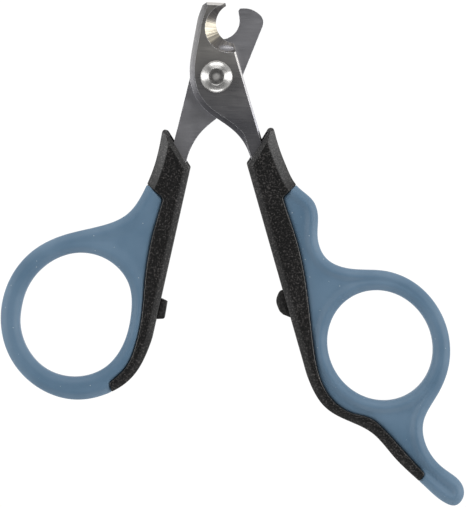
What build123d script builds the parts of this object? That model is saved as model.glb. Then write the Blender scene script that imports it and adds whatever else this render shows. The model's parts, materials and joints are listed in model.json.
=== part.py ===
"""Scissor-action claw clipper for cats and small pets, lying flat and half open.

Two stainless plates, a hooked one over a blunt one, cross at a rivet. The tang of each
plate sits in a rigid black handle body, whose thin core carries a soft ring-shaped grip,
and a rubber stop on each body meets the other when the clipper closes.

Lengths are in millimetres. Profiles are drawn about the rivet's axis, with +Y towards
the jaws, and level() puts them in the part's frame. The origin is the bottom centre of
the bounding box, so the clipper lies on Z = 0.
"""

import os

from build123d import *

# ---------------------------------------------------------------- driving dimensions
PIVOT_X, PIVOT_Y = -3.18, 35.36  # the rivet's axis, from the centre of the bounding box

HANDLE_THICKNESS = 7.2
GRIP_INSET = 0.15  # the soft grip lies this far under each face of the handle body
GRIP_ROUNDING = 1.4
CORE_SKIN = 1.3  # soft material between the finger hole and the core
CORE_WIDTH = 1.2
CORE_THICKNESS = 2.6

PLATE_THICKNESS = 1.8
PLATE_GAP = 0.04  # between the two plates, and between the rivet head and the top one
EDGE_LAND = 0.25  # upright face left at the cutting edge under the hollow grind
SPINE_BEVEL_WIDTH, SPINE_BEVEL_DEPTH = 1.0, 0.35  # shallow bevel along the hook's back
SIDE_BEVEL = 0.35  # along the straight side under the notch
TOP_BEVEL = 0.55  # along the hook's end
LOCK_HOLE_RADIUS = 0.8  # hole in each tang that the handle moulding fills

SHANK_RADIUS = 1.5
RUNNING_CLEARANCE = 0.04  # radial, round the shank in the top plate
HEAD_RADIUS = 3.2
HEAD_HEIGHT = 1.1
HEAD_EDGE = 0.15  # upright face round the head, under its dome
DOME_RADIUS, DOME_HEIGHT = 2.7, 0.8  # a ring on the dome between its edge and its crown
CROWN_RADIUS = 1.85
DIMPLE_RADIUS = 1.65
DIMPLE_FLOOR_RADIUS = 1.0
DIMPLE_DEPTH = 0.45
TAIL_RADIUS = 2.6
TAIL_HEIGHT = 0.8
TAIL_BEVEL = 0.3

LIP_SET_BACK = 0.4  # the mouth's upper lip starts this far behind its lower lip
LIP_BEVEL = 0.9
MOUTH_CUT_SPAN = 40  # length of the cut that sets the lip back, past both ends of the mouth
POCKET_DEPTH = 1.6
POCKET_WIDTH = 6.6
POCKET_CLEARANCE = 0.3  # open space over and under the plate in the pocket
BODY_ROUNDING = 0.6
PAD_HEIGHT = 4.6
STEM_HEIGHT = 2.4

MID_Z = HANDLE_THICKNESS / 2  # the plane where the plates slide on each other
FRONT_LOW = MID_Z + PLATE_GAP / 2
FRONT_TOP = FRONT_LOW + PLATE_THICKNESS
BACK_TOP = MID_Z - PLATE_GAP / 2
BACK_LOW = BACK_TOP - PLATE_THICKNESS
HEAD_LOW = FRONT_TOP + PLATE_GAP

os.makedirs("parts", exist_ok=True)


def level(z):
    """The plane at height z whose origin is on the rivet's axis."""
    return Plane((PIVOT_X, PIVOT_Y, z))


def edge_wedge(start, end, z, width):
    """A wedge that bevels a straight edge at height z, with the solid on the right of its run."""
    run = Vector(end) - Vector(start)
    foot = Vector(PIVOT_X, PIVOT_Y, z) + Vector(start)
    with BuildPart() as wedge:
        with BuildSketch(Plane(foot, x_dir=(-run.Y, run.X, 0), z_dir=run)):
            Polygon((-width, 0), (0, -width), (width, width), align=None)
        extrude(amount=run.length)
    return wedge.part


def save(builder, label):
    """Label a finished sub-part and write it to its own STEP file."""
    builder.part.label = label
    export_step(builder.part, f"parts/{label}.step")


# ---------------------------------------------------------------- front plate
# The top plate. Its hooked jaw has a claw notch, hollow ground from a wide curve on the
# top face to the cutting edge. The tang narrows inside the right-hand handle.
NOTCH_CENTRE = (3.9, 10.7)
NOTCH_RADIUS = 4.0
GRIND_CENTRE = (2.65, 9.75)
GRIND_RADIUS = 4.95
HOOK_CORNER, HOOK_TIP = (-1.9, 14.95), (1.8, 14.75)
NOTCH_FOOT, SHOULDER = (3.85, 5.0), (9.25, -13.1)
HOOK_BACK = (-5.35, 0.5)  # on the outer curve beside the rivet
FRONT_LOCK_HOLE = (9.15, -18.3)

with BuildPart() as front_blade:
    with BuildSketch(level(FRONT_LOW)) as front_profile:
        with BuildLine():
            Polyline((-2.8, 14.3), HOOK_CORNER, HOOK_TIP, NOTCH_FOOT, SHOULDER)
            Polyline(SHOULDER, (14.3, -32.6), (12.1, -33.2), (7.4, -17.6))
            Spline(
                (7.4, -17.6),
                (6.0, -14.1),
                (3.7, -11.0),
                (1.1, -9.0),
                (-1.6, -7.1),
                (-4.2, -4.0),
                HOOK_BACK,
                (-4.9, 5.5),
                (-3.9, 10.9),
                (-2.8, 14.3),
                tangents=[(-0.42, 0.91), (0.35, 0.9)],
            )
        make_face()
        with Locations(NOTCH_CENTRE):
            Circle(NOTCH_RADIUS, mode=Mode.SUBTRACT)
    extrude(amount=PLATE_THICKNESS)
    with BuildSketch(level(FRONT_LOW + EDGE_LAND)):
        with Locations(NOTCH_CENTRE):
            Circle(NOTCH_RADIUS)
    with BuildSketch(level(FRONT_TOP)):
        with Locations(GRIND_CENTRE):
            Circle(GRIND_RADIUS)
    loft(mode=Mode.SUBTRACT)
    chamfer(
        front_blade.edges().sort_by_distance(Vector(PIVOT_X, PIVOT_Y, FRONT_TOP) + Vector(HOOK_BACK))[0],
        length=SPINE_BEVEL_WIDTH,
        length2=SPINE_BEVEL_DEPTH,
        reference=front_blade.faces().filter_by(Axis.Z).sort_by(Axis.Z)[-1],
    )
    add(edge_wedge(NOTCH_FOOT, SHOULDER, FRONT_TOP, SIDE_BEVEL), mode=Mode.SUBTRACT)
    add(edge_wedge(HOOK_CORNER, HOOK_TIP, FRONT_TOP, TOP_BEVEL), mode=Mode.SUBTRACT)
    with BuildSketch(level(FRONT_LOW)):
        Circle(SHANK_RADIUS + RUNNING_CLEARANCE)
        with Locations(FRONT_LOCK_HOLE):
            Circle(LOCK_HOLE_RADIUS)
    extrude(amount=PLATE_THICKNESS, mode=Mode.SUBTRACT)
save(front_blade, "front_blade")

# ---------------------------------------------------------------- back plate
# The lower plate. Its blunt jaw has a plain round notch that holds the claw, and its tang
# runs into the left-hand handle.
BACK_LOCK_HOLE = (-7.9, -17.6)

with BuildPart() as back_blade:
    with BuildSketch(level(BACK_LOW)) as back_profile:
        with BuildLine():
            Line((9.2, 10.0), (5.4, 0.6))
            Spline(
                (5.4, 0.6),
                (4.2, -3.9),
                (1.4, -7.2),
                (-1.6, -9.6),
                (-3.7, -11.8),
                (-5.2, -14.4),
                (-6.4, -18.2),
                tangents=[(-0.37, -0.93), (-0.27, -0.96)],
            )
            Polyline((-6.4, -18.2), (-9.1, -32.8), (-11.0, -32.4), (-9.5, -24.0))
            Polyline((-9.5, -24.0), (-8.6, -13.3), (-3.6, 6.9), (-2.4, 8.0), (0.3, 7.6))
            ThreePointArc((0.3, 7.6), (3.35, 8.5), (4.6, 11.4))
            Polyline((4.6, 11.4), (4.35, 13.2), (4.7, 13.75))
            Spline((4.7, 13.75), (6.6, 13.65), (8.3, 12.8), (9.2, 10.0), tangents=[(1, 0.03), (-0.37, -0.93)])
        make_face()
    extrude(amount=PLATE_THICKNESS)
    with BuildSketch(level(BACK_LOW)):
        Circle(SHANK_RADIUS)
        with Locations(BACK_LOCK_HOLE):
            Circle(LOCK_HOLE_RADIUS)
    extrude(amount=PLATE_THICKNESS, mode=Mode.SUBTRACT)
save(back_blade, "back_blade")

# ---------------------------------------------------------------- pivot rivet
# One turned solid: formed tail, shank and a domed head with a round dimple.
with BuildPart() as pivot_rivet:
    with BuildSketch(Plane((PIVOT_X, PIVOT_Y, 0), x_dir=(1, 0, 0), z_dir=(0, -1, 0))):
        with BuildLine():
            Polyline(
                (0, BACK_LOW - TAIL_HEIGHT),
                (TAIL_RADIUS - TAIL_BEVEL, BACK_LOW - TAIL_HEIGHT),
                (TAIL_RADIUS, BACK_LOW - TAIL_HEIGHT + TAIL_BEVEL),
                (TAIL_RADIUS, BACK_LOW),
                (SHANK_RADIUS, BACK_LOW),
                (SHANK_RADIUS, HEAD_LOW),
                (HEAD_RADIUS, HEAD_LOW),
                (HEAD_RADIUS, HEAD_LOW + HEAD_EDGE),
            )
            Spline(
                (HEAD_RADIUS, HEAD_LOW + HEAD_EDGE),
                (DOME_RADIUS, HEAD_LOW + DOME_HEIGHT),
                (CROWN_RADIUS, HEAD_LOW + HEAD_HEIGHT),
                tangents=[(0, 1), (-1, 0.1)],
            )
            Polyline(
                (CROWN_RADIUS, HEAD_LOW + HEAD_HEIGHT),
                (DIMPLE_RADIUS, HEAD_LOW + HEAD_HEIGHT),
                (DIMPLE_FLOOR_RADIUS, HEAD_LOW + HEAD_HEIGHT - DIMPLE_DEPTH),
                (0, HEAD_LOW + HEAD_HEIGHT - DIMPLE_DEPTH),
                (0, BACK_LOW - TAIL_HEIGHT),
            )
        make_face()
    revolve(axis=Axis((PIVOT_X, PIVOT_Y, 0), (0, 0, 1)))
save(pivot_rivet, "pivot_rivet")

# ---------------------------------------------------------------- handle outlines
# Each handle is one outline, the mouth's slanted end, the outer side with its finger
# ring, and the straight inner side. A second sketch marks the side that is rigid body.
LEFT_MOUTH_CORNER, LEFT_PEAK = (-5.15, -17.9), (-10.54, -9.2)
RIGHT_MOUTH_CORNER, RIGHT_PEAK = (6.0, -17.2), (11.09, -9.04)
LEFT_RING_CENTRE, LEFT_RING_RADII, LEFT_RING_TURN = (-27.93, -47.49), (12.58, 11.08), 72.5
RIGHT_RING_CENTRE, RIGHT_RING_RADII, RIGHT_RING_TURN = (32.69, -53.64), (11.23, 10.33), 120.5
PEAK_ROUNDING = 0.75

with BuildSketch() as left_outline:
    with BuildLine():
        Line(LEFT_MOUTH_CORNER, LEFT_PEAK)
        Spline(
            LEFT_PEAK,
            (-12.2, -17.1),
            (-14.4, -22.6),
            (-17.8, -27.4),
            (-23.2, -29.8),
            (-30.5, -31.6),
            (-36.5, -34.6),
            (-40.9, -39.7),
            (-43.1, -47.9),
            (-41.4, -55.7),
            (-36.2, -61.7),
            (-27.9, -64.5),
            (-20.7, -62.8),
            (-15.6, -58.4),
            (-13.1, -53.0),
            (-12.0, -48.5),
            tangents=[(-0.17, -0.98), (0.22, 0.98)],
        )
        Line((-12.0, -48.5), LEFT_MOUTH_CORNER)
    make_face()
    fillet(left_outline.vertices().group_by(Axis.Y)[-1], PEAK_ROUNDING)
    with BuildLine():
        Spline(
            (-39.2, -47.6),
            (-38.2, -53.4),
            (-34.2, -58.2),
            (-28.1, -59.9),
            (-22.1, -57.9),
            (-18.5, -53.1),
            (-17.1, -47.6),
            (-17.5, -41.5),
            (-21.7, -36.6),
            (-28.1, -35.2),
            (-33.9, -37.5),
            (-37.7, -42.0),
            periodic=True,
        )
    make_face(mode=Mode.SUBTRACT)

with BuildSketch() as left_rigid_side:
    with BuildLine():
        Line((-15.5, -19.97), (-10.6, -24.3))
        Spline(
            (-10.6, -24.3),
            (-12.7, -31.4),
            (-14.4, -42.2),
            (-14.95, -48.0),
            (-16.2, -53.8),
            (-18.5, -58.6),
            (-21.4, -61.1),
            tangents=[(-0.28, -0.96), (-0.8, -0.6)],
        )
        Polyline((-21.4, -61.1), (-20.3, -65.0), (0, -65.0), (0, -5.0), (-15.5, -5.0), (-15.5, -19.97))
    make_face()
    fillet(left_rigid_side.vertices().sort_by_distance((-10.6, -24.3))[0], 1.0)
    fillet(left_rigid_side.vertices().sort_by_distance((-21.4, -61.1))[0], 0.5)

with BuildSketch() as right_outline:
    with BuildLine():
        Line(RIGHT_MOUTH_CORNER, RIGHT_PEAK)
        Spline(
            RIGHT_PEAK,
            (12.4, -13.8),
            (14.0, -18.0),
            (16.2, -21.9),
            (19.4, -24.9),
            (20.3, -28.0),
            (20.2, -31.8),
            (21.9, -36.2),
            (27.0, -38.35),
            (33.3, -38.7),
            (38.9, -40.7),
            (43.5, -45.0),
            (46.2, -50.8),
            (46.5, -57.2),
            (44.1, -63.6),
            (41.3, -69.2),
            (42.2, -74.3),
            (45.9, -78.6),
            (48.8, -81.0),
            (49.4, -83.6),
            (47.8, -85.6),
            (45.3, -84.9),
            (41.5, -81.7),
            (35.5, -76.0),
            (31.0, -71.1),
            (25.6, -68.4),
            (20.7, -64.9),
            (18.0, -59.4),
            (16.6, -54.5),
            tangents=[(0.27, -0.96), (-0.28, 0.96)],
        )
        Line((16.6, -54.5), RIGHT_MOUTH_CORNER)
    make_face()
    fillet(right_outline.vertices().group_by(Axis.Y)[-1], PEAK_ROUNDING)
    with Locations(RIGHT_RING_CENTRE):
        Ellipse(*RIGHT_RING_RADII, rotation=RIGHT_RING_TURN, mode=Mode.SUBTRACT)

with BuildSketch() as right_rigid_side:
    with BuildLine():
        Line((17.2, -20.4), (13.2, -24.1))
        Spline(
            (13.2, -24.1),
            (16.0, -32.7),
            (17.7, -40.5),
            (19.3, -53.5),
            (20.7, -60.3),
            (23.2, -64.6),
            (26.9, -67.1),
            (30.5, -68.1),
            (33.4, -70.4),
            (41.6, -79.3),
            tangents=[(0.28, -0.96), (0.71, -0.71)],
        )
        Polyline((41.6, -79.3), (38.5, -83.0), (0, -83.0), (0, -5.0), (17.2, -5.0), (17.2, -20.4))
    make_face()
    fillet(right_rigid_side.vertices().sort_by_distance((13.2, -24.1))[0], 0.7)
    fillet(right_rigid_side.vertices().sort_by_distance((41.6, -79.3))[0], 0.5)


# ---------------------------------------------------------------- cores
# The rigid skeleton inside each soft grip, a thin ring round the finger hole with webs
# that tie it to the spine.
def core_ring(centre, hole_radii, turn):
    """An oval ring of core, set back from a finger hole by the soft skin."""
    inner = [radius + CORE_SKIN for radius in hole_radii]
    outer = [radius + CORE_WIDTH for radius in inner]
    with Locations(centre):
        Ellipse(*outer, rotation=turn)
        Ellipse(*inner, rotation=turn, mode=Mode.SUBTRACT)


with BuildSketch() as left_core:
    core_ring(LEFT_RING_CENTRE, LEFT_RING_RADII, LEFT_RING_TURN)
    Polygon(
        (-11.0, -27.0),
        (-14.5, -26.2),
        (-18.5, -30.0),
        (-24.5, -32.4),
        (-26.0, -33.6),
        (-20.5, -35.4),
        (-17.3, -38.6),
        (-15.6, -42.0),
        (-13.0, -43.0),
        align=None,
    )

with BuildSketch() as right_core:
    core_ring(RIGHT_RING_CENTRE, RIGHT_RING_RADII, RIGHT_RING_TURN)
    Polygon(
        (14.0, -27.5),
        (18.0, -26.2),
        (18.7, -32.0),
        (20.0, -36.9),
        (24.5, -39.9),
        (28.5, -41.2),
        (23.8, -44.7),
        (20.6, -52.0),
        (18.0, -53.5),
        (15.5, -36.0),
        align=None,
    )
    Polygon(
        (21.5, -59.5),
        (23.9, -62.6),
        (28.0, -65.7),
        (34.0, -66.3),
        (38.6, -65.0),
        (39.4, -70.5),
        (40.6, -75.5),
        (44.6, -80.2),
        (47.0, -82.2),
        (46.7, -83.4),
        (44.0, -82.1),
        (40.0, -79.0),
        (33.0, -71.2),
        (30.0, -69.0),
        (25.0, -66.6),
        (21.0, -62.0),
        align=None,
    )


# ---------------------------------------------------------------- stop pads
# Rubber stops, each with a stem pressed into a socket in the handle's inner side. The
# left one is square, and the right one is round-nosed with a flat lower end.
def stop_pad(nose, stem):
    """A rubber stop centred on the handle's thickness, from its nose and stem sketches."""
    with BuildPart() as pad:
        with BuildSketch(level(MID_Z)):
            add(nose.sketch)
        extrude(amount=PAD_HEIGHT / 2, both=True)
        with BuildSketch(level(MID_Z)):
            add(stem.sketch)
        extrude(amount=STEM_HEIGHT / 2, both=True)
    return pad


with BuildSketch() as left_nose:
    with BuildLine():
        Polyline(
            (-11.03, -44.16),
            (-9.76, -44.8),
            (-10.34, -48.15),
            (-10.6, -48.35),
            (-11.97, -48.4),
            close=True,
        )
    make_face()

with BuildSketch() as left_stem:
    with BuildLine():
        Polyline((-11.0, -45.3), (-12.6, -45.66), (-12.9, -47.4), (-11.45, -47.1), close=True)
    make_face()

with BuildSketch() as right_nose:
    with BuildLine():
        Line((14.8, -48.1), (13.3, -42.6))
        Spline(
            (13.3, -42.6),
            (12.3, -43.4),
            (11.95, -45.0),
            (12.5, -46.6),
            (13.3, -47.5),
            tangents=[(-0.8, 0.1), (0.7, -0.6)],
        )
        Line((13.3, -47.5), (14.8, -48.1))
    make_face()

with BuildSketch() as right_stem:
    with BuildLine():
        Polyline((13.4, -44.0), (15.0, -43.6), (15.5, -45.4), (14.0, -45.9), close=True)
    make_face()

left_stop_pad = stop_pad(left_nose, left_stem)
right_stop_pad = stop_pad(right_nose, right_stem)
save(left_stop_pad, "left_stop_pad")
save(right_stop_pad, "right_stop_pad")


def rim_edges(builder, places, low, high):
    """The lower and upper edges of a moulding that pass each place on its outline."""
    corners = [Vector(PIVOT_X + x, PIVOT_Y + y, z) for x, y in places for z in (low, high)]
    return [builder.edges().sort_by_distance(corner)[0] for corner in corners]


# ---------------------------------------------------------------- handle bodies
# Rigid black mouldings. The tang lies in a slot of its own shape, the mouth is wider and
# taller than the plate, and a thin core follows the outline inside the soft grip.
def handle_body(outline, rigid_side, core, mouth, pocket_at, rounded, plate, plate_low, pad):
    """One rigid handle moulding, cut to fit round its plate and its stop.

    mouth holds the ends of the mouth's edge, with the handle on the right of its run, and
    pocket_at is how far along it the pocket round the plate has its middle.
    """
    mouth_run = Vector(mouth[1]) - Vector(mouth[0])
    lip_shift = Vector(mouth_run.Y, -mouth_run.X, 0).normalized() * LIP_SET_BACK
    lip = [Vector(end) + lip_shift for end in mouth]

    def mouth_plane(z):
        return Plane(Vector(PIVOT_X, PIVOT_Y, z) + Vector(mouth[0]), x_dir=mouth_run, z_dir=(0, 0, 1))

    with BuildPart() as body:
        with BuildSketch(level(0)):
            add(outline.sketch)
            add(rigid_side.sketch, mode=Mode.INTERSECT)
        extrude(amount=HANDLE_THICKNESS)
        fillet(rim_edges(body, rounded, 0, HANDLE_THICKNESS), BODY_ROUNDING)
        with BuildSketch(mouth_plane(plate_low + PLATE_THICKNESS)):
            Rectangle(MOUTH_CUT_SPAN, 2 * LIP_SET_BACK)
        extrude(amount=HANDLE_THICKNESS, mode=Mode.SUBTRACT)
        add(edge_wedge(lip[0], lip[1], HANDLE_THICKNESS, LIP_BEVEL), mode=Mode.SUBTRACT)
        with BuildSketch(mouth_plane(plate_low - POCKET_CLEARANCE)):
            with Locations((pocket_at, 0)):
                Rectangle(POCKET_WIDTH, 2 * POCKET_DEPTH)
        extrude(amount=PLATE_THICKNESS + 2 * POCKET_CLEARANCE, mode=Mode.SUBTRACT)
        with BuildSketch(level(MID_Z)):
            add(core.sketch)
        extrude(amount=CORE_THICKNESS / 2, both=True)
        add(plate.part, mode=Mode.SUBTRACT)
        add(pad.part, mode=Mode.SUBTRACT)
    return body


left_handle_body = handle_body(
    left_outline,
    left_rigid_side,
    left_core,
    [LEFT_PEAK, LEFT_MOUTH_CORNER],
    6.0,
    [(-12.2, -17.1), (-8.6, -33.2), (-15.6, -58.4)],
    back_blade,
    BACK_LOW,
    left_stop_pad,
)
right_handle_body = handle_body(
    right_outline,
    right_rigid_side,
    right_core,
    [RIGHT_MOUTH_CORNER, RIGHT_PEAK],
    4.15,
    [(13.1, -16.0), (11.3, -35.8), (25.6, -68.4)],
    front_blade,
    FRONT_LOW,
    right_stop_pad,
)
save(left_handle_body, "left_handle_body")
save(right_handle_body, "right_handle_body")


# ---------------------------------------------------------------- soft grips
# Blue-grey soft overmouldings round the cores, with rolled edges.
def soft_grip(outline, rigid_side, rounded, body):
    """The soft side of one handle, less the rigid body that it is moulded over."""
    low = GRIP_INSET
    high = HANDLE_THICKNESS - GRIP_INSET
    with BuildPart() as grip:
        with BuildSketch(level(low)):
            add(outline.sketch)
            add(rigid_side.sketch, mode=Mode.SUBTRACT)
        extrude(amount=high - low)
        fillet(rim_edges(grip, rounded, low, high), GRIP_ROUNDING)
        add(body.part, mode=Mode.SUBTRACT)
    return grip


left_grip = soft_grip(
    left_outline,
    left_rigid_side,
    [(-43.1, -47.9), (-28.1, -35.2)],
    left_handle_body,
)
right_grip = soft_grip(
    right_outline,
    right_rigid_side,
    [(46.5, -54.0), (32.7, -42.6)],
    right_handle_body,
)
save(left_grip, "left_grip")
save(right_grip, "right_grip")
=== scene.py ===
"""Scissor-action claw clipper, lying half open on a pale table and seen from straight above.

The sections follow the clipper as it is put together: the two plates, the rivet, the black
handle bodies, the soft grips and the rubber stops, and then the table, lights and camera.
"""

import json
import math

import bmesh
import bpy
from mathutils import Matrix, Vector, kdtree


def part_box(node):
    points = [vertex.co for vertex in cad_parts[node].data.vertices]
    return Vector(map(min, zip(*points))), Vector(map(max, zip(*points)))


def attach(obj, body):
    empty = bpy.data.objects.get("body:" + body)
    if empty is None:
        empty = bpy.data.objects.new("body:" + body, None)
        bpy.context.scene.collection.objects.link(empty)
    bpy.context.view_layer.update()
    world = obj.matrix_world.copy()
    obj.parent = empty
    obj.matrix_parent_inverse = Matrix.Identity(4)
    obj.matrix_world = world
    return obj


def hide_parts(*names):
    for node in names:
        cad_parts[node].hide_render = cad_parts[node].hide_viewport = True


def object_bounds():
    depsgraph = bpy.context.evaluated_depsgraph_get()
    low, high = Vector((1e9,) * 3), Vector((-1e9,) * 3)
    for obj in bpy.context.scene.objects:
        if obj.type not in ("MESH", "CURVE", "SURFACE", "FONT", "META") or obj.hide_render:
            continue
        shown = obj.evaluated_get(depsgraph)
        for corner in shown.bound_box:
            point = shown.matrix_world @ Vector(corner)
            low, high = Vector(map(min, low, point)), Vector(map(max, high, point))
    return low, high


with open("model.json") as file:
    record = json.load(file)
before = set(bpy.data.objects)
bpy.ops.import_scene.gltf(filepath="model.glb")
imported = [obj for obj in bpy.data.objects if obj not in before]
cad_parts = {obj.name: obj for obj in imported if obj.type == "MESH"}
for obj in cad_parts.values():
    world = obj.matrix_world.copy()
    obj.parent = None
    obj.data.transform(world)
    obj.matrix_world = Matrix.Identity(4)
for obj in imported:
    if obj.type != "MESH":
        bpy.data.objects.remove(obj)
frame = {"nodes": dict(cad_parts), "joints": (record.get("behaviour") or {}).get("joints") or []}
CAD_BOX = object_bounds()


# ---------------------------------------------------------------- front plate
# The hooked plate on top. It is blanked from 1.8 mm martensitic stainless strip, ground
# flat, hollow ground at the notch, and left with narrow bevels along its edges. Its colours
# carry painted light: a painted sheen along the face, painted highlights on the edge bevels
# and in the notch, and painted shade on the back bevel.
MM = 0.001
PIVOT = Vector(frame["joints"][0]["pos_m"]).to_2d()


def linear(colour):
    """The linear colour of an sRGB hex value."""
    parts = [int(colour[i : i + 2], 16) / 255 for i in (1, 3, 5)]
    curved = [p / 12.92 if p <= 0.04045 else ((p + 0.055) / 1.055) ** 2.4 for p in parts]
    return (*curved, 1.0)


def add_node(tree, kind, feeds=(), **settings):
    """Add a node with its settings, and feed (output or value, input) pairs into it."""
    node = tree.nodes.new(kind)
    for name, value in settings.items():
        if hasattr(node, name):
            setattr(node, name, value)
        else:
            node.inputs[name.replace("_", " ")].default_value = value
    for source, name in feeds:
        if isinstance(source, bpy.types.NodeSocket):
            tree.links.new(source, node.inputs[name])
        else:
            node.inputs[name].default_value = source
    return node


def new_material(name):
    """A new material with only an output node: the material, its tree and that node."""
    material = bpy.data.materials.new(name)
    material.use_nodes = True
    tree = material.node_tree
    tree.nodes.clear()
    return material, tree, tree.nodes.new("ShaderNodeOutputMaterial")


def ground_steel(name, dark, pale, roughness, pattern_turn, stroke_depth, painted_sheen_ends=(0.0, 1.0)):
    """Stainless strip after a belt grinder: long fine strokes one way, slightly uneven shine.

    The strokes run across the clipper, along X. pattern_turn comes after their stretching, so
    it doesn't turn them, but gives a plate strokes of its own. The last argument gives two
    places along the plate, between which its colour goes from dark to pale, a painted sheen.
    Left alone, they are a metre apart, and the plate keeps one tone.
    """
    material, tree, output = new_material(name)
    place = add_node(tree, "ShaderNodeTexCoord").outputs["Object"]
    # strokes of the belt are about 0.08 mm apart and 4 mm long, drawn 0.2 mm apart to show
    turned = add_node(
        tree,
        "ShaderNodeMapping",
        [(place, "Vector")],
        Rotation=(0, 0, pattern_turn),
        Scale=(250, 5000, 5000),
    )
    strokes = add_node(
        tree,
        "ShaderNodeTexNoise",
        [(turned.outputs["Vector"], "Vector")],
        Scale=1.0,
        Detail=4.0,
        Roughness=0.6,
    )
    # the sheen drifts over patches of about 6 mm where the belt pressed harder
    patches = add_node(
        tree,
        "ShaderNodeTexNoise",
        [(place, "Vector")],
        Scale=160.0,
        Detail=2.0,
    )
    mixed = add_node(
        tree,
        "ShaderNodeMath",
        [(strokes.outputs["Fac"], 0), (patches.outputs["Fac"], 1)],
        operation="ADD",
    )
    along = add_node(tree, "ShaderNodeSeparateXYZ", [(place, "Vector")]).outputs["Y"]
    # painted sheen: between the two places given, the colour goes from dark to pale, so one end is
    # brighter
    painted_sheen = add_node(
        tree,
        "ShaderNodeMapRange",
        [(along, "Value")],
        interpolation_type="SMOOTHSTEP",
        From_Min=painted_sheen_ends[0],
        From_Max=painted_sheen_ends[1],
        To_Max=0.75,
    )
    grain = add_node(
        tree,
        "ShaderNodeMapRange",
        [(mixed.outputs["Value"], "Value")],
        From_Min=0.7,
        From_Max=1.3,
        To_Max=0.25,
    )
    tint = add_node(
        tree,
        "ShaderNodeMath",
        [(painted_sheen.outputs["Result"], 0), (grain.outputs["Result"], 1)],
        operation="ADD",
    )
    colour = add_node(
        tree,
        "ShaderNodeMix",
        [(tint.outputs["Value"], "Factor"), (linear(dark), 6), (linear(pale), 7)],
        data_type="RGBA",
    )
    shine = add_node(
        tree,
        "ShaderNodeMapRange",
        [(mixed.outputs["Value"], "Value")],
        From_Min=0.7,
        From_Max=1.3,
        To_Min=roughness - 0.05,
        To_Max=roughness + 0.07,
    )
    scratches = add_node(
        tree,
        "ShaderNodeBump",
        [(strokes.outputs["Fac"], "Height")],
        Strength=0.5,
        Distance=stroke_depth,
    )
    steel = add_node(
        tree,
        "ShaderNodeBsdfPrincipled",
        [
            (colour.outputs[2], "Base Color"),
            (shine.outputs["Result"], "Roughness"),
            (scratches.outputs["Normal"], "Normal"),
        ],
        Metallic=1.0,
    )
    tree.links.new(steel.outputs["BSDF"], output.inputs["Surface"])
    return material


def wheel_ground(name, dark, pale, centre):
    """Steel hollow ground on a small wheel: dull, with chatter marks on its far side coloured pale
    there as a painted highlight.
    """
    material, tree, output = new_material(name)
    place = add_node(tree, "ShaderNodeTexCoord").outputs["Object"]
    # turned so that the seam of the angle lies in the notch's open side
    centred = add_node(
        tree,
        "ShaderNodeMapping",
        [(place, "Vector")],
        Location=(centre.x, centre.y, 0),
        Rotation=(0, 0, math.pi),
    )
    angle = add_node(
        tree,
        "ShaderNodeTexGradient",
        [(centred.outputs["Vector"], "Vector")],
        gradient_type="RADIAL",
    ).outputs["Fac"]
    # a mark every 0.6 mm or so round a cut of 28 mm
    chatter = add_node(
        tree,
        "ShaderNodeTexNoise",
        [(angle, "W")],
        noise_dimensions="1D",
        Scale=46.0,
        Detail=2.0,
        Roughness=0.7,
    )
    # painted highlight: over a sixth of a turn, just past halfway round, the colour turns pale and
    # the chatter marks show as bright bands
    aside = add_node(tree, "ShaderNodeMath", [(angle, 0), (0.528, 1)], operation="SUBTRACT")
    distance = add_node(tree, "ShaderNodeMath", [(aside.outputs["Value"], 0)], operation="ABSOLUTE")
    painted_glint = add_node(
        tree,
        "ShaderNodeMapRange",
        [(distance.outputs["Value"], "Value")],
        interpolation_type="SMOOTHSTEP",
        From_Min=0.03,
        From_Max=0.12,
        To_Min=1.0,
        To_Max=0.15,
    )
    mark = add_node(
        tree,
        "ShaderNodeMapRange",
        [(chatter.outputs["Fac"], "Value")],
        From_Min=0.4,
        From_Max=0.6,
        To_Min=0.45,
    )
    tint = add_node(
        tree,
        "ShaderNodeMath",
        [(mark.outputs["Result"], 0), (painted_glint.outputs["Result"], 1)],
        operation="MULTIPLY",
    )
    colour = add_node(
        tree,
        "ShaderNodeMix",
        [(tint.outputs["Value"], "Factor"), (linear(dark), 6), (linear(pale), 7)],
        data_type="RGBA",
    )
    facets = add_node(
        tree,
        "ShaderNodeBump",
        [(tint.outputs["Value"], "Height")],
        Strength=0.4,
        Distance=0.03 * MM,
    )
    steel = add_node(
        tree,
        "ShaderNodeBsdfPrincipled",
        [(colour.outputs[2], "Base Color"), (facets.outputs["Normal"], "Normal")],
        Metallic=1.0,
        Roughness=0.36,
    )
    tree.links.new(steel.outputs["BSDF"], output.inputs["Surface"])
    return material


def merged_skin(node):
    """A bmesh of a CAD node, its loose triangles joined into one skin."""
    skin = bmesh.new()
    skin.from_mesh(frame["nodes"][node].data)
    bmesh.ops.remove_doubles(skin, verts=skin.verts, dist=0.002 * MM)
    bmesh.ops.recalc_face_normals(skin, faces=skin.faces)
    return skin


def new_piece(name, shape):
    """An object in the scene with a bmesh's shape, which is freed."""
    mesh = bpy.data.meshes.new(name)
    shape.to_mesh(mesh)
    shape.free()
    piece = bpy.data.objects.new(name, mesh)
    bpy.context.scene.collection.objects.link(piece)
    return piece


def shade(piece, crease):
    """Smooth shading, with an edge wherever two faces meet at more than crease degrees."""
    piece.data.shade_smooth()
    piece.data.set_sharp_from_angle(angle=math.radians(crease))


# the plate's finishes, in the order of its material slots
STRIP_FACE, BROKEN_EDGE, BACK_BEVEL, NOTCH_GRIND, RUN_OUT = range(5)
PLATE_CREASE = 12


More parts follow.
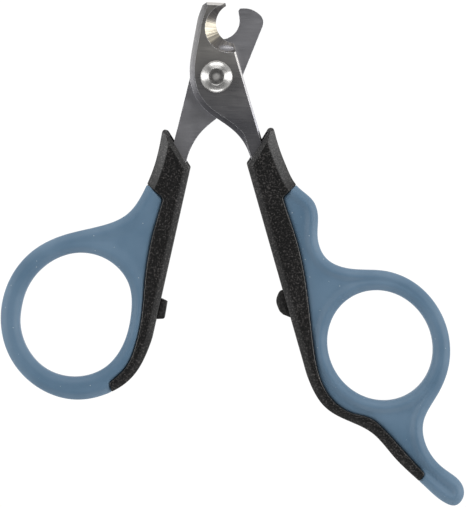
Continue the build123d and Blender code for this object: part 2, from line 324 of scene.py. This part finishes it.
def break_edges(piece, width):
    """Take the burr off a plate's edges with a narrow bevel, as tumbling does."""
    plate = bmesh.new()
    plate.from_mesh(piece.data)
    bmesh.ops.dissolve_limit(
        plate,
        angle_limit=math.radians(0.5),
        verts=plate.verts,
        edges=plate.edges,
    )
    broken = bmesh.ops.bevel(
        plate,
        geom=[edge for edge in plate.edges if edge.calc_face_angle(0) > math.radians(18)],
        offset=width,
        affect="EDGES",
        segments=2,
        profile=0.5,
        material=-1,
        clamp_overlap=True,
    )
    for face in broken["faces"]:
        face.material_index = BROKEN_EDGE
    bmesh.ops.triangulate(plate, faces=[face for face in plate.faces if len(face.verts) > 4])
    plate.to_mesh(piece.data)
    plate.free()


def sink_facet(piece, centre, turn, half_length, half_width, depth, floor):
    """Grind a shallow lens-shaped facet into the notch's slope, above the level of floor."""
    along = Vector((math.cos(turn), math.sin(turn)))

    def reach(place):
        """How far out a place lies, squared: 0 at the facet's centre and 1 at its rim."""
        away = place.to_2d() - centre
        return (away.dot(along) / half_length) ** 2 + (away.cross(along) / half_width) ** 2

    plate = bmesh.new()
    plate.from_mesh(piece.data)
    near = {
        face
        for face in plate.faces
        if face.material_index == NOTCH_GRIND
        and (face.calc_center_median().to_2d() - centre).length < 2 * half_length
    }
    long_edges = [edge for edge in plate.edges if edge.calc_length() > 0.15 * MM]
    bmesh.ops.subdivide_edges(
        plate,
        edges=[edge for edge in long_edges if near.intersection(edge.link_faces)],
        cuts=9,
        use_grid_fill=True,
    )
    bmesh.ops.triangulate(plate, faces=[face for face in plate.faces if len(face.verts) > 4])
    for face in plate.faces:
        if face.material_index == NOTCH_GRIND and reach(face.calc_center_median()) < 1:
            face.material_index = RUN_OUT
    for corner in plate.verts:
        if reach(corner.co) < 1 and corner.co.z > floor:
            corner.co.z -= depth * (1 - reach(corner.co))
    plate.to_mesh(piece.data)
    plate.free()


front_plate = new_piece("front_plate", merged_skin("front_blade"))
break_edges(front_plate, 0.12 * MM)

belt_pattern = 1.27
polish_depth, coarse_depth = 0.002 * MM, 0.01 * MM
# painted sheen: between these two places along Y, the plate's colour goes from dark to pale
painted_sheen_span = (PIVOT.y - 9 * MM, PIVOT.y + 8 * MM)
notch_centre = PIVOT + Vector((2.65, 9.75)) * MM
notch_reach = 5.0 * MM
# painted highlight: the narrow bevels on the plates' edges are coloured near white
edge_highlight_steel = ground_steel(
    "painted_highlight_edge", "#dcdcde", "#f2f2f2", 0.5, belt_pattern, polish_depth
)
for steel in (
    ground_steel(
        "belt_ground_stainless_painted_sheen", "#9b9ba2", "#d2cfca", 0.3, belt_pattern, polish_depth, painted_sheen_span
    ),
    edge_highlight_steel,
    # painted shade: the back bevel is coloured darker than the face it slopes off
    ground_steel(
        "coarse_ground_bevel_painted_shade", "#6e6e74", "#8d8c8c", 0.32, belt_pattern, coarse_depth, painted_sheen_span
    ),
    # painted highlight: the notch's grind is dark except for a pale patch with bright bands
    wheel_ground("wheel_ground_notch_painted_highlight", "#47464a", "#b5ae9d", notch_centre),
    ground_steel("run_out_polish", "#77767a", "#9a9998", 0.3, 1.4, polish_depth),
):
    front_plate.data.materials.append(steel)
# a ground face is told by the upward part of its normal: steep in the notch, slight at the back
for face in front_plate.data.polygons:
    if face.material_index == BROKEN_EDGE:
        continue
    from_notch = (face.center.to_2d() - notch_centre).length
    if 0.2 < face.normal.z < 0.92 and from_notch < notch_reach:
        face.material_index = NOTCH_GRIND
    elif 0.92 < face.normal.z < 0.97:
        face.material_index = BACK_BEVEL

plate_low, plate_high = (corner[2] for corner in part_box("front_blade"))
sink_facet(
    front_plate,
    centre=PIVOT + Vector((2.05, 5.75)) * MM,
    turn=math.radians(-6),
    half_length=1.5 * MM,
    half_width=0.55 * MM,
    depth=0.08 * MM,
    floor=(plate_low + plate_high) / 2,
)
shade(front_plate, PLATE_CREASE)
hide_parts("front_blade")
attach(front_plate, "front_half")


# ---------------------------------------------------------------- back plate
# The blunt plate underneath, blanked from the same strip. It is ground across its jaw, which
# leaves short fine strokes from side to side, and its notch is left plain.
back_steel = ground_steel("cross_ground_stainless", "#b9b9be", "#d2d1d4", 0.38, 0.02, 0.004 * MM)
back_plate = new_piece("back_plate", merged_skin("back_blade"))
break_edges(back_plate, 0.1 * MM)
shade(back_plate, PLATE_CREASE)
back_plate.data.materials.append(back_steel)
# the back plate's bevels take the same painted highlight
back_plate.data.materials.append(edge_highlight_steel)
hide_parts("back_blade")
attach(back_plate, "back_half")


# ---------------------------------------------------------------- pivot rivet
# A turned and plated steel rivet. The punch that closed it left a round dimple with a
# flat floor in its domed head.
def turned_steel(name, colour, roughness):
    """Plated steel off a lathe: bright, with fine rings 0.3 mm apart round its axis."""
    material, tree, output = new_material(name)
    place = add_node(tree, "ShaderNodeTexCoord").outputs["Object"]
    centred = add_node(
        tree,
        "ShaderNodeMapping",
        [(place, "Vector")],
        Location=(-PIVOT.x, -PIVOT.y, 0),
    )
    rings = add_node(
        tree,
        "ShaderNodeTexWave",
        [(centred.outputs["Vector"], "Vector")],
        wave_type="RINGS",
        rings_direction="Z",
        Scale=1000,
        Distortion=1.5,
        Detail=2.0,
    )
    # handling marks, in patches of about 0.5 mm
    marks = add_node(tree, "ShaderNodeTexNoise", [(place, "Vector")], Scale=2000.0, Detail=3.0)
    shine = add_node(
        tree,
        "ShaderNodeMapRange",
        [(marks.outputs["Fac"], "Value")],
        From_Min=0.35,
        From_Max=0.65,
        To_Min=roughness - 0.04,
        To_Max=roughness + 0.06,
    )
    # the punch left a dull spot about 1.3 mm across in the middle of the dimple
    flat = add_node(
        tree,
        "ShaderNodeVectorMath",
        [(centred.outputs["Vector"], 0), ((1, 1, 0), 1)],
        operation="MULTIPLY",
    )
    radius = add_node(
        tree,
        "ShaderNodeVectorMath",
        [(flat.outputs["Vector"], 0)],
        operation="LENGTH",
    )
    spot = add_node(
        tree,
        "ShaderNodeMapRange",
        [(radius.outputs["Value"], "Value")],
        interpolation_type="SMOOTHSTEP",
        From_Min=0.2 * MM,
        From_Max=1.1 * MM,
        To_Min=0.35,
        To_Max=0.0,
    )
    worn = add_node(
        tree,
        "ShaderNodeMath",
        [(shine.outputs["Result"], 0), (spot.outputs["Result"], 1)],
        operation="ADD",
    )
    grooves = add_node(
        tree,
        "ShaderNodeBump",
        [(rings.outputs["Fac"], "Height")],
        Strength=0.25,
        Distance=0.004 * MM,
    )
    steel = add_node(
        tree,
        "ShaderNodeBsdfPrincipled",
        [(worn.outputs["Value"], "Roughness"), (grooves.outputs["Normal"], "Normal")],
        Base_Color=linear(colour),
        Metallic=1.0,
    )
    tree.links.new(steel.outputs["BSDF"], output.inputs["Surface"])
    return material


tail_low, head_high = (corner[2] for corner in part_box("pivot_rivet"))
tail_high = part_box("back_blade")[0][2]
head_low = plate_high + 0.04 * MM  # the head leaves the front plate room to turn
# half of the rivet's outline, as radius and height: tail, shank, head, dome and dimple
rivet_profile = [
    (0.0, tail_low),
    (2.25 * MM, tail_low),
    (2.5 * MM, tail_low + 0.1 * MM),
    (2.6 * MM, tail_low + 0.3 * MM),
    (2.6 * MM, tail_high),
    (1.5 * MM, tail_high),
    (1.5 * MM, head_low),
    (3.2 * MM, head_low),
    (3.2 * MM, head_high - 0.9 * MM),
    (3.12 * MM, head_high - 0.76 * MM),
    (2.98 * MM, head_high - 0.62 * MM),
    (2.78 * MM, head_high - 0.48 * MM),
    (2.52 * MM, head_high - 0.34 * MM),
    (2.22 * MM, head_high - 0.21 * MM),
    (1.92 * MM, head_high - 0.09 * MM),
    (1.7 * MM, head_high),
    (1.62 * MM, head_high - 0.04 * MM),
    (1.4 * MM, head_high - 0.09 * MM),
    (1.1 * MM, head_high - 0.14 * MM),
    (0.8 * MM, head_high - 0.17 * MM),
    (0.5 * MM, head_high - 0.16 * MM),
    (0.25 * MM, head_high - 0.13 * MM),
    (0.0, head_high - 0.12 * MM),
]
turning = bmesh.new()
corners = [turning.verts.new((PIVOT.x + radius, PIVOT.y, z)) for radius, z in rivet_profile]
for start, end in zip(corners, corners[1:]):
    turning.edges.new((start, end))
bmesh.ops.spin(
    turning,
    geom=turning.verts[:] + turning.edges[:],
    cent=(PIVOT.x, PIVOT.y, 0),
    axis=(0, 0, 1),
    angle=math.tau,
    steps=96,
    use_merge=True,
)
bmesh.ops.remove_doubles(turning, verts=turning.verts, dist=0.001 * MM)
bmesh.ops.recalc_face_normals(turning, faces=turning.faces)
rivet = new_piece("rivet", turning)
shade(rivet, 35)
rivet.data.materials.append(turned_steel("turned_plated_steel", "#aeadab", 0.27))
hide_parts("pivot_rivet")
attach(rivet, "back_half")


# ---------------------------------------------------------------- handle bodies
# Rigid black mouldings in glass-filled polypropylene. Their flat faces have a spark-eroded
# grain. Their edges fall away in slopes, deep round the collar and shallow on the inner side.
HANDLE_MID = CAD_BOX[1][2] / 2
# the levels at which the CAD solids are cut for the outlines of the grips and the bodies
GRIP_LEVEL, BODY_LEVEL = 5.5 * MM, 6.2 * MM
COLLAR_DROP = 1.2 * MM
SIDE_WIDTH, SIDE_DROP = 1.4 * MM, 0.45 * MM
JOINT_WIDTH, JOINT_DROP = 0.2 * MM, 0.12 * MM


def outline_points(node, height):
    """Points every 0.05 mm round a CAD node's section at that height, with their way out."""
    cut = merged_skin(node)
    level = bmesh.ops.bisect_plane(
        cut,
        geom=cut.verts[:] + cut.edges[:] + cut.faces[:],
        dist=0.0005 * MM,
        plane_co=(0, 0, height),
        plane_no=(0, 0, 1),
    )
    points = []
    for edge in [item for item in level["geom_cut"] if isinstance(item, bmesh.types.BMEdge)]:
        start, end = (corner.co.to_2d() for corner in edge.verts)
        wall = sum((face.normal for face in edge.link_faces), Vector()).to_2d()
        steps = max(1, round((end - start).length / (0.05 * MM)))
        for step in range(steps):
            points.append((start.lerp(end, (step + 0.5) / steps), wall.normalized()))
    cut.free()
    return points


def nearest(points):
    """A search tree over outline points, which gives the distance from a place to them."""
    tree = kdtree.KDTree(len(points))
    for number, (place, way_out) in enumerate(points):
        tree.insert((place.x, place.y, 0), number)
    tree.balance()
    return tree


def remeshed(piece, voxel):
    """Give the piece an even skin of small quads, fine enough to be shaped point by point."""
    modifier = piece.modifiers.new("even_skin", "REMESH")
    modifier.mode = "VOXEL"
    modifier.voxel_size = voxel
    bpy.context.view_layer.update()
    skinned = piece.evaluated_get(bpy.context.evaluated_depsgraph_get())
    even = bpy.data.meshes.new_from_object(skinned)
    piece.modifiers.clear()
    old = piece.data
    piece.data = even
    bpy.data.meshes.remove(old)
    even.name = piece.name


def slope_edges(piece, points, grip_tree, mouth, inner, collar_width):
    """Slope the piece's upper and lower edges off, each side by its own width and depth.

    mouth and inner each give two ends of a straight side of the outline. The mouth keeps its
    edges. What is left is the collar's outer side, or the joint where the soft grip touches.
    """

    def on_line(place, ends):
        run = (ends[1] - ends[0]).normalized()
        return abs((place - ends[0]).cross(run)) < 0.12 * MM

    sides = {"collar": [], "side": [], "joint": []}
    for point in points:
        if grip_tree.find((point[0].x, point[0].y, 0))[2] < 0.1 * MM:
            sides["joint"].append(point)
        elif on_line(point[0], inner) or point[0].y < inner[0].y:
            sides["side"].append(point)
        elif not on_line(point[0], mouth):
            sides["collar"].append(point)
    trees = [
        (nearest(sides["collar"]), collar_width, COLLAR_DROP),
        (nearest(sides["side"]), SIDE_WIDTH, SIDE_DROP),
        (nearest(sides["joint"]), JOINT_WIDTH, JOINT_DROP),
    ]
    for corner in piece.data.vertices:
        place = (corner.co.x, corner.co.y, 0)
        room = HANDLE_MID
        for tree, width, drop in trees:
            far = tree.find(place)[2]
            # the power leaves the slope a little crowned
            room = min(room, HANDLE_MID - drop * max(0, 1 - far / width) ** 1.15)
        up = corner.co.z - HANDLE_MID
        corner.co.z = HANDLE_MID + max(-room, min(room, up))


def eroded_black(name, colour, pale, grain_depth):
    """Black polypropylene from a spark-eroded mould: matt, with a fine even grain."""
    material, tree, output = new_material(name)
    place = add_node(tree, "ShaderNodeTexCoord").outputs["Object"]
    # the grain's pits are about 0.15 mm across, drawn 0.35 mm across to show
    grain = add_node(
        tree,
        "ShaderNodeTexNoise",
        [(place, "Vector")],
        Scale=2800.0,
        Detail=3.0,
        Roughness=0.7,
    )
    # faint greying where hands rub it, in patches of about 8 mm
    rubbed = add_node(tree, "ShaderNodeTexNoise", [(place, "Vector")], Scale=120.0, Detail=3.0)
    mixed = add_node(
        tree,
        "ShaderNodeMath",
        [(rubbed.outputs["Fac"], 0), (0.12, 1), (grain.outputs["Fac"], 2)],
        operation="MULTIPLY_ADD",
    )
    tint = add_node(
        tree,
        "ShaderNodeMapRange",
        [(mixed.outputs["Value"], "Value")],
        interpolation_type="SMOOTHSTEP",
        From_Min=0.55,
        From_Max=0.78,
    )
    tone = add_node(
        tree,
        "ShaderNodeMix",
        [(tint.outputs["Result"], "Factor"), (linear(colour), 6), (linear(pale), 7)],
        data_type="RGBA",
    )
    pits = add_node(
        tree,
        "ShaderNodeBump",
        [(grain.outputs["Fac"], "Height")],
        Strength=0.6,
        Distance=grain_depth,
    )
    plastic = add_node(
        tree,
        "ShaderNodeBsdfPrincipled",
        [(tone.outputs[2], "Base Color"), (pits.outputs["Normal"], "Normal")],
        Roughness=0.38,
        IOR=1.49,
    )
    tree.links.new(plastic.outputs["BSDF"], output.inputs["Surface"])
    return material


def side_point(x, y):
    """A place given in millimetres from the rivet's axis."""
    return PIVOT + Vector((x, y)) * MM


black_plastic = eroded_black("spark_eroded_polypropylene", "#050505", "#4e4b4a", 0.04 * MM)
for side, half, mouth, inner, collar_width in (
    (
        "left",
        "back_half",
        (side_point(-5.5, -18.1), side_point(-10.88, -9.41)),
        (side_point(-12.0, -48.5), side_point(-5.15, -17.9)),
        1.8 * MM,
    ),
    (
        "right",
        "front_half",
        (side_point(6.34, -17.41), side_point(11.43, -9.25)),
        (side_point(16.6, -54.5), side_point(6.0, -17.2)),
        2.0 * MM,
    ),
):
    body = new_piece(side + "_spine", merged_skin(side + "_handle_body"))
    remeshed(body, 0.2 * MM)
    body_outline = outline_points(side + "_handle_body", BODY_LEVEL)
    grip_tree = nearest(outline_points(side + "_grip", GRIP_LEVEL))
    slope_edges(body, body_outline, grip_tree, mouth, inner, collar_width)
    shade(body, 35)
    body.data.materials.append(black_plastic)
    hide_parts(side + "_handle_body")
    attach(body, half)


# ---------------------------------------------------------------- soft grips
# Blue-grey thermoplastic elastomer moulded over the bodies. Its rim is rolled round the
# finger hole and the outside, and the web between the ring and the spine lies lower.
RIM_RADIUS = 1.7 * MM
JOIN_WIDTH, JOIN_DROP = 0.35 * MM, 0.3 * MM


def section_slab(node, name, height, low, high):
    """A solid slab between two levels with a CAD node's outline at that height."""
    cut = merged_skin(node)
    bmesh.ops.bisect_plane(
        cut,
        geom=cut.verts[:] + cut.edges[:] + cut.faces[:],
        dist=0.0005 * MM,
        plane_co=(0, 0, height),
        plane_no=(0, 0, 1),
        clear_inner=True,
        clear_outer=True,
    )
    bmesh.ops.remove_doubles(cut, verts=cut.verts, dist=0.004 * MM)
    bmesh.ops.triangle_fill(cut, use_beauty=True, edges=cut.edges)
    bmesh.ops.translate(cut, verts=cut.verts, vec=(0, 0, low - height))
    raised = bmesh.ops.extrude_face_region(cut, geom=cut.faces[:])
    top = [item for item in raised["geom"] if isinstance(item, bmesh.types.BMVert)]
    bmesh.ops.translate(cut, verts=top, vec=(0, 0, high - low))
    bmesh.ops.recalc_face_normals(cut, faces=cut.faces)
    return new_piece(name, cut)


def roll_rim(piece, free, shared, low, high, web_recess, web_fade):
    """Round the piece over along its free outline, and sink what lies inside the rim.

    free and shared are the outline's points away from the handle body and against it. Over
    web_fade past the rim, the face sinks by web_recess.
    """
    middle, half = (low + high) / 2, (high - low) / 2
    straight = half - RIM_RADIUS
    free_tree, shared_tree = nearest(free), nearest(shared)
    moves = []
    for corner in piece.data.vertices:
        flat = corner.co.to_2d()
        number, far = free_tree.find((flat.x, flat.y, 0))[1:]
        across = free[number][1]
        up = max(-1, min(1, (corner.co.z - middle) / half))
        # a square's edge is rolled into a round one: both run from 0 to 1 at the corner
        near_side = max(0, 1 - far / RIM_RADIUS)
        near_face = max(0, (abs(up) * half - straight) / RIM_RADIUS)
        inward = RIM_RADIUS * near_side * (1 - math.sqrt(1 - near_face**2 / 2))
        rise = abs(up) * half
        if near_face > 0:
            rise = straight + RIM_RADIUS * near_face * math.sqrt(1 - near_side**2 / 2)
        sunk = max(0, min(1, (far - 0.8 * RIM_RADIUS) / web_fade))
        sink = web_recess * sunk * sunk * (3 - 2 * sunk)
        joint = shared_tree.find((flat.x, flat.y, 0))[2]
        sink += JOIN_DROP * max(0, 1 - joint / JOIN_WIDTH) ** 2
        rise -= sink * near_face
        place = flat - across * inward
        moves.append(Vector((place.x, place.y, middle + math.copysign(rise, up))))
    for corner, place in zip(piece.data.vertices, moves):
        corner.co = place
    soft = bmesh.new()
    soft.from_mesh(piece.data)
    for smoothing in range(3):
        bmesh.ops.smooth_vert(
            soft,
            verts=soft.verts,
            factor=0.5,
            use_axis_x=True,
            use_axis_y=True,
            use_axis_z=True,
        )
    soft.to_mesh(piece.data)
    soft.free()


def satin_elastomer(name, colour, pale, speck):
    """Soft-touch elastomer: satin, faintly mottled, with a few specks of dust on it."""
    material, tree, output = new_material(name)
    place = add_node(tree, "ShaderNodeTexCoord").outputs["Object"]
    # the pigment drifts over about 10 mm
    drift = add_node(tree, "ShaderNodeTexNoise", [(place, "Vector")], Scale=100.0, Detail=3.0)
    tint = add_node(
        tree,
        "ShaderNodeMapRange",
        [(drift.outputs["Fac"], "Value")],
        From_Min=0.35,
        From_Max=0.65,
    )
    tone = add_node(
        tree,
        "ShaderNodeMix",
        [(tint.outputs["Result"], "Factor"), (linear(colour), 6), (linear(pale), 7)],
        data_type="RGBA",
    )
    # dust specks 0.15 mm across and some 5 mm apart, where a cell's middle meets the skin
    cells = add_node(tree, "ShaderNodeTexVoronoi", [(place, "Vector")], Scale=600.0)
    near = add_node(
        tree,
        "ShaderNodeMath",
        [(cells.outputs["Distance"], 0), (0.05, 1)],
        operation="LESS_THAN",
    )
    dusty = add_node(
        tree,
        "ShaderNodeMix",
        [(near.outputs["Value"], "Factor"), (tone.outputs[2], 6), (linear(speck), 7)],
        data_type="RGBA",
    )
    # the mould's own fine texture, 0.25 mm across
    texture = add_node(tree, "ShaderNodeTexNoise", [(place, "Vector")], Scale=4000.0, Detail=2.0)
    skin = add_node(
        tree,
        "ShaderNodeBump",
        [(texture.outputs["Fac"], "Height")],
        Strength=0.4,
        Distance=0.006 * MM,
    )
    rubber = add_node(
        tree,
        "ShaderNodeBsdfPrincipled",
        [(dusty.outputs[2], "Base Color"), (skin.outputs["Normal"], "Normal")],
        Roughness=0.55,
        IOR=1.5,
    )
    tree.links.new(rubber.outputs["BSDF"], output.inputs["Surface"])
    return material


blue_elastomer = satin_elastomer("satin_elastomer", "#4d6980", "#5c768c", "#b4bec4")
for side, half, web_recess, web_fade in (
    ("left", "back_half", 0.4 * MM, 2.4 * MM),
    ("right", "front_half", 0.65 * MM, 1.5 * MM),
):
    grip_low, grip_high = (corner[2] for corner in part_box(side + "_grip"))
    ring = section_slab(side + "_grip", side + "_soft_grip", GRIP_LEVEL, grip_low, grip_high)
    rim = outline_points(side + "_grip", GRIP_LEVEL)
    spine_tree = nearest(outline_points(side + "_handle_body", GRIP_LEVEL))
    touching = [spine_tree.find((place.x, place.y, 0))[2] < 0.08 * MM for place, way_out in rim]
    remeshed(ring, 0.22 * MM)
    roll_rim(
        ring,
        [point for point, joined in zip(rim, touching) if not joined],
        [point for point, joined in zip(rim, touching) if joined],
        grip_low,
        grip_high,
        web_recess,
        web_fade,
    )
    shade(ring, 80)
    ring.data.materials.append(blue_elastomer)
    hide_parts(side + "_grip")
    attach(ring, half)


# ---------------------------------------------------------------- stop pads
# Moulded black rubber stops, pressed into sockets in the spines. Their edges are a little
# rounded by the mould, and their skin is dull.
def dull_rubber(name, colour, pale):
    """Nitrile rubber: nearly black and dull, with a slight bloom in patches of about 0.5 mm."""
    material, tree, output = new_material(name)
    place = add_node(tree, "ShaderNodeTexCoord").outputs["Object"]
    bloom = add_node(tree, "ShaderNodeTexNoise", [(place, "Vector")], Scale=2000.0, Detail=4.0)
    tint = add_node(
        tree,
        "ShaderNodeMapRange",
        [(bloom.outputs["Fac"], "Value")],
        From_Min=0.45,
        From_Max=0.75,
    )
    tone = add_node(
        tree,
        "ShaderNodeMix",
        [(tint.outputs["Result"], "Factor"), (linear(colour), 6), (linear(pale), 7)],
        data_type="RGBA",
    )
    bumps = add_node(
        tree,
        "ShaderNodeBump",
        [(bloom.outputs["Fac"], "Height")],
        Strength=0.4,
        Distance=0.01 * MM,
    )
    rubber = add_node(
        tree,
        "ShaderNodeBsdfPrincipled",
        [(tone.outputs[2], "Base Color"), (bumps.outputs["Normal"], "Normal")],
        Roughness=0.42,
        IOR=1.52,
    )
    tree.links.new(rubber.outputs["BSDF"], output.inputs["Surface"])
    return material


stop_rubber = dull_rubber("moulded_nitrile_rubber", "#0c0b0b", "#3a3938")
for side, half in (("left", "back_half"), ("right", "front_half")):
    block = merged_skin(side + "_stop_pad")
    bmesh.ops.dissolve_limit(
        block,
        angle_limit=math.radians(1),
        verts=block.verts,
        edges=block.edges,
    )
    bmesh.ops.bevel(
        block,
        geom=[edge for edge in block.edges if edge.calc_face_angle(0) > math.radians(35)],
        offset=0.2 * MM,
        affect="EDGES",
        segments=3,
        profile=0.5,
        material=-1,
        clamp_overlap=True,
    )
    pad = new_piece(side + "_stop", block)
    shade(pad, 50)
    pad.data.materials.append(stop_rubber)
    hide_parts(side + "_stop_pad")
    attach(pad, half)


# ---------------------------------------------------------------- table
# A plain light table topped with opal acrylic. It glows an even white, so nothing on it
# throws a shadow.
glowing, tree, output = new_material("lit_opal_acrylic")
place = add_node(tree, "ShaderNodeTexCoord").outputs["Object"]
# its lamps leave broad patches, about 300 mm across, that differ by a few hundredths
cloud = add_node(tree, "ShaderNodeTexNoise", [(place, "Vector")], Scale=3.0, Detail=2.0)
level = add_node(
    tree,
    "ShaderNodeMapRange",
    [(cloud.outputs["Fac"], "Value")],
    To_Min=1.02,
    To_Max=1.06,
)
opal = add_node(
    tree,
    "ShaderNodeEmission",
    [(level.outputs["Result"], "Strength")],
    Color=linear("#ffffff"),
)
tree.links.new(opal.outputs["Emission"], output.inputs["Surface"])
sheet = bmesh.new()
bmesh.ops.create_grid(sheet, x_segments=8, y_segments=8, size=0.6)
bmesh.ops.translate(sheet, verts=sheet.verts, vec=(0, 0, -0.02 * MM))
table = new_piece("table", sheet)
table.data.materials.append(glowing)


# ---------------------------------------------------------------- lights and camera
# Four soft boxes lean in from the sides, with a dim room above, and the camera hangs
# straight over the clipper with a long lens.
def soft_box(name, place, size, power):
    """A rectangular light that faces the middle of the table."""
    light = bpy.data.lights.new(name, "AREA")
    light.shape = "RECTANGLE"
    light.size, light.size_y = size
    light.energy = power
    lamp = bpy.data.objects.new(name, light)
    lamp.location = place
    lamp.rotation_euler = (-Vector(place)).to_track_quat("-Z", "Y").to_euler()
    bpy.context.scene.collection.objects.link(lamp)


soft_box("left_box", (-0.95, 0.1, 0.5), (0.5, 0.9), 4.6)
soft_box("right_box", (0.95, 0.1, 0.5), (0.5, 0.9), 6.2)
soft_box("far_box", (0.0, 0.95, 0.55), (0.9, 0.4), 4.5)
soft_box("near_box", (0.0, -0.95, 0.45), (0.9, 0.3), 3.0)

world = bpy.data.worlds.new("light_tent")
world.use_nodes = True
tent = world.node_tree
tent.nodes.clear()
direction = add_node(tent, "ShaderNodeTexCoord").outputs["Generated"]
towards = add_node(tent, "ShaderNodeSeparateXYZ", [(direction, "Vector")])
# the tent's white wall ends in a dim opening overhead, and reaches higher at left and right
sideways = add_node(
    tent,
    "ShaderNodeMath",
    [(towards.outputs["X"], 0), (towards.outputs["X"], 1)],
    operation="MULTIPLY",
)
upward = add_node(
    tent,
    "ShaderNodeMath",
    [(sideways.outputs["Value"], 0), (-0.45, 1), (towards.outputs["Z"], 2)],
    operation="MULTIPLY_ADD",
)
wall = add_node(
    tent,
    "ShaderNodeMapRange",
    [(upward.outputs["Value"], "Value")],
    interpolation_type="SMOOTHSTEP",
    From_Min=0.25,
    From_Max=0.85,
    To_Min=0.75,
    To_Max=0.12,
)
cloth = add_node(
    tent,
    "ShaderNodeBackground",
    [(wall.outputs["Result"], "Strength")],
    Color=linear("#ffffff"),
)
sky = tent.nodes.new("ShaderNodeOutputWorld")
tent.links.new(cloth.outputs["Background"], sky.inputs["Surface"])
bpy.context.scene.world = world
bpy.context.scene.view_settings.view_transform = "Standard"

# the view is 101.4 mm high at the clipper's middle, and centred a hair off its box
VIEW_HEIGHT = 101.4 * MM
CAMERA_PLACE = (0.12 * MM, 0.06 * MM, 1.2)
camera_data = bpy.data.cameras.new("camera")
camera_data.sensor_fit = "VERTICAL"
camera_data.sensor_height = 36.0
camera_data.lens = camera_data.sensor_height * (CAMERA_PLACE[2] - HANDLE_MID) / VIEW_HEIGHT
camera_data.clip_start = 0.05
camera = bpy.data.objects.new("camera", camera_data)
camera.location = CAMERA_PLACE
bpy.context.scene.collection.objects.link(camera)
bpy.context.scene.camera = camera
